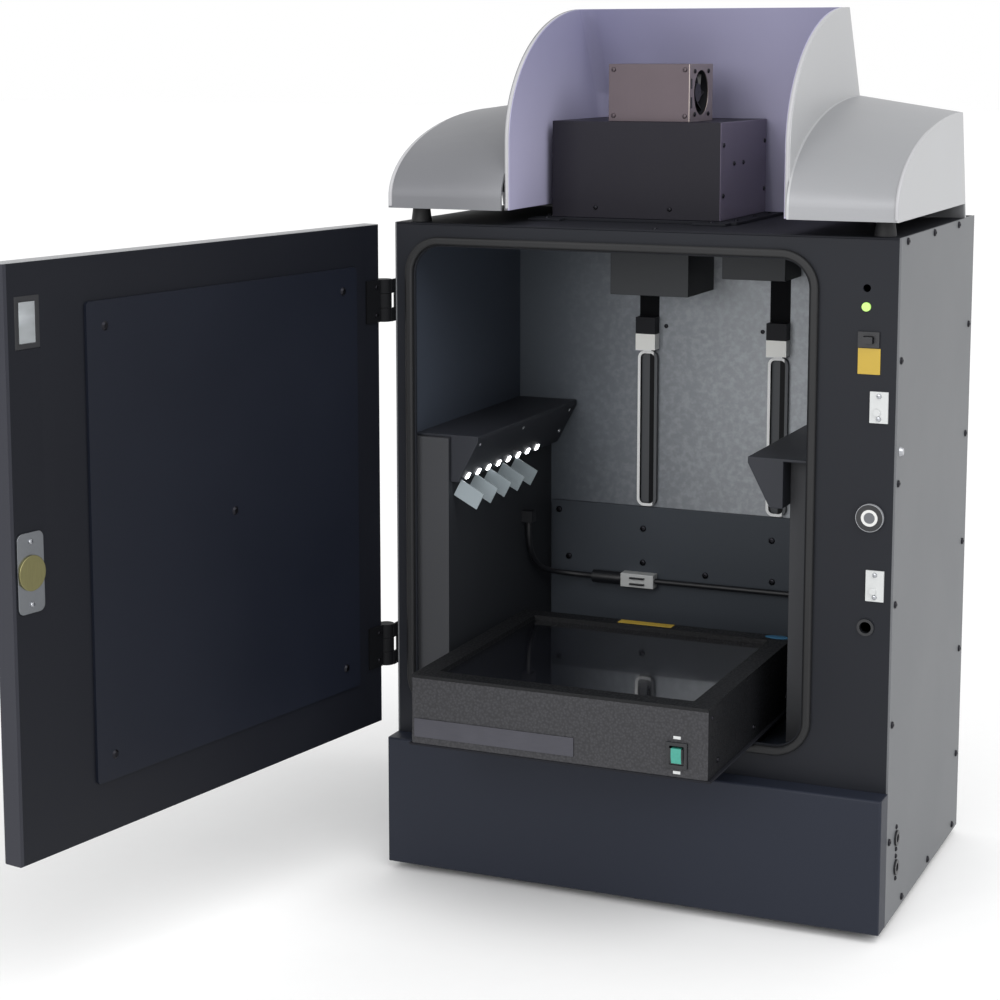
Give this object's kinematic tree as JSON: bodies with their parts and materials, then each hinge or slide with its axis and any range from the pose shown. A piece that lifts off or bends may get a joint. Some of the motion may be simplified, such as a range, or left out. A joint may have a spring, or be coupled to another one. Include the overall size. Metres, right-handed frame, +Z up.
{
  "type": "gel documentation system",
  "caption": "Cabinet for photographing gels: hinged door, dark chamber with lamps, slide-out ultraviolet illuminator, and a camera box under a lift-off hood.",
  "frame": {"origin": "centre of the cabinet's footprint (front frame to back panel, side to side), on the surface the feet stand on", "axes": "+Z up, +X to the right of someone facing the door, +Y into the cabinet; the door opens towards -Y"},
  "size_m": [0.6492, 0.8307, 0.8683],
  "materials": {
    "black_paint": "semi-gloss black paint",
    "grey_paint": "satin grey paint",
    "hammer_paint": "hammertone dark grey",
    "back_wall_paint": "mottled grey",
    "liner_paint": "matt dark blue black",
    "rubber": "black rubber",
    "black_plastic": "black plastic",
    "white_plastic": "white plastic",
    "lead_jacket": "black cable jacket",
    "hood_silver": "silver moulded plastic",
    "hood_blue": "blue violet moulded plastic",
    "switch_teal": "teal lens",
    "lamp_green": "green lens",
    "zinc": "zinc plated",
    "aluminium": "brownish grey anodised",
    "brass": "dull brass",
    "filter_glass": "black ultraviolet filter glass",
    "clear_glass": "window pane",
    "tube_glass": "ultraviolet tubes",
    "led_lens": "white lamp lens"
  },
  "bodies": {
    "cabinet": {"back_panel": "black_paint", "ballast_boxes": "black_paint", "base_pan": "black_paint", "cable_grommet": "black_plastic", "camera_base_plate": "black_paint", "camera_body": "black_plastic", "camera_bridge": "aluminium", "camera_housing": "black_paint", "catch_plates": "white_plastic", "chamber_back_wall": "back_wall_paint", "chamber_liner": "black_paint", "door_gasket": "rubber", "door_magnet": "zinc", "fan_frame": "black_plastic", "fan_housing": "aluminium", "front_frame": "black_paint", "hinge_fixed_leaves": "black_paint", "indicator_lamp": "lamp_green", "interlock_body": "black_plastic", "lamp_diffusers": "white_plastic", "lamp_lead": "lead_jacket", "lead_fittings": "black_plastic", "left_side_panel": "grey_paint", "overhead_lamp_boxes": "black_paint", "plinth_cover": "black_paint", "power_supply": "black_plastic", "reflector_vanes": "zinc", "right_side_panel": "grey_paint", "rubber_feet": "rubber", "service_panel": "black_paint", "side_lamp_housings": "black_paint", "side_lamps": "led_lens", "side_sockets": "black_plastic", "side_stud": "zinc", "slide_rails": "black_paint", "terminal_block": "white_plastic", "terminal_tail": "lead_jacket", "top_panel": "black_paint", "upright_lamps": "white_plastic"},
    "door": {"door_shell": "black_paint", "door_inner_plate": "liner_paint", "inner_plate_screws": "zinc", "window_frame": "black_plastic", "window_pane": "clear_glass", "latch_plate": "zinc", "armature_disc": "brass", "door_handle": "aluminium", "hinge_door_leaves": "black_paint"},
    "tray": {"slide_tray": "zinc", "illuminator_housing": "hammer_paint", "illuminator_rim": "hammer_paint", "filter_glass": "filter_glass", "uv_tubes": "tube_glass", "switch_bezel": "black_plastic"},
    "rocker": {"rocker_switch": "switch_teal"},
    "plunger": {"interlock_plunger": "black_plastic"},
    "fan": {"fan_rotor": "black_plastic"},
    "wheel": {"filter_wheel": "black_plastic"},
    "hood": {"hood_shell": "hood_silver", "hood_bay_lining": "hood_blue"}
  },
  "joints": [
    {"name": "door_hinge", "type": "hinge", "parent": "cabinet", "child": "door", "pos_m": [-0.263, -0.166, 0.406], "axis": [0, 0, 1], "range_deg": [-10, 100]},
    {"name": "tray_slide", "type": "slide", "parent": "cabinet", "child": "tray", "axis": [0, 1, 0], "range_m": [-0.0145, 0.1432]},
    {"name": "rocker_tilt", "type": "hinge", "parent": "tray", "child": "rocker", "pos_m": [0.094, -0.295, 0.197], "axis": [1, 0, 0], "range_deg": [-12, 0]},
    {"name": "plunger_press", "type": "slide", "parent": "cabinet", "child": "plunger", "axis": [0, 1, 0], "range_m": [0, 0.004], "stiffness_N_per_m": 300},
    {"name": "fan_spin", "type": "hinge", "parent": "cabinet", "child": "fan", "pos_m": [0.01, -0.024, 0.785], "axis": [1, 0, 0], "continuous": true},
    {"name": "wheel_turn", "type": "hinge", "parent": "cabinet", "child": "wheel", "pos_m": [-0.008, 0.002, 0.669], "axis": [0, 0, 1], "continuous": true},
    {"name": "hood_lift", "type": "slide", "parent": "cabinet", "child": "hood", "axis": [0, 0, 1], "range_m": [0, 0.25]}
  ],
  "couplings": [
    {"joint": "tray_slide", "follows": "door_hinge", "m_per_rad": 0.08193}
  ]
}
